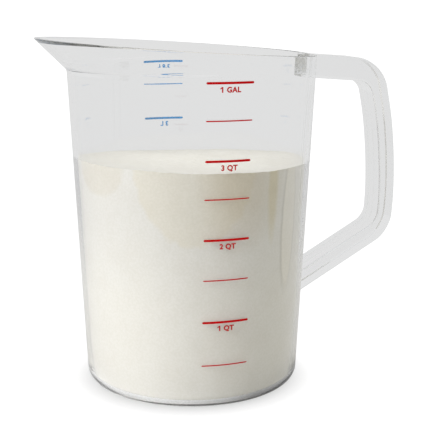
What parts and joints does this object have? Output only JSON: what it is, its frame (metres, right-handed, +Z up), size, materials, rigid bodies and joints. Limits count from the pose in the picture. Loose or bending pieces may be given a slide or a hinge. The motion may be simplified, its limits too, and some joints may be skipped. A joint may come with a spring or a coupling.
{
  "type": "measuring jug",
  "caption": "Clear measuring jug with a wide pouring lip, an angular loop handle and a printed volume scale, partly filled with fine cream-white powder.",
  "frame": {"origin": "on the jug's axis, in the flat underside that it stands on", "axes": "+Z up along the jug's axis, +X from the axis to the handle, -X to the pouring lip"},
  "size_m": [0.2534, 0.1694, 0.2373],
  "materials": {
    "clear_plastic": "clear, glossy",
    "powder": "matte, fine grained",
    "red_print": "printed ink, satin",
    "blue_print": "printed ink, satin"
  },
  "bodies": {
    "root": {"jug": "clear_plastic", "powder": "powder"}
  },
  "joints": []
}
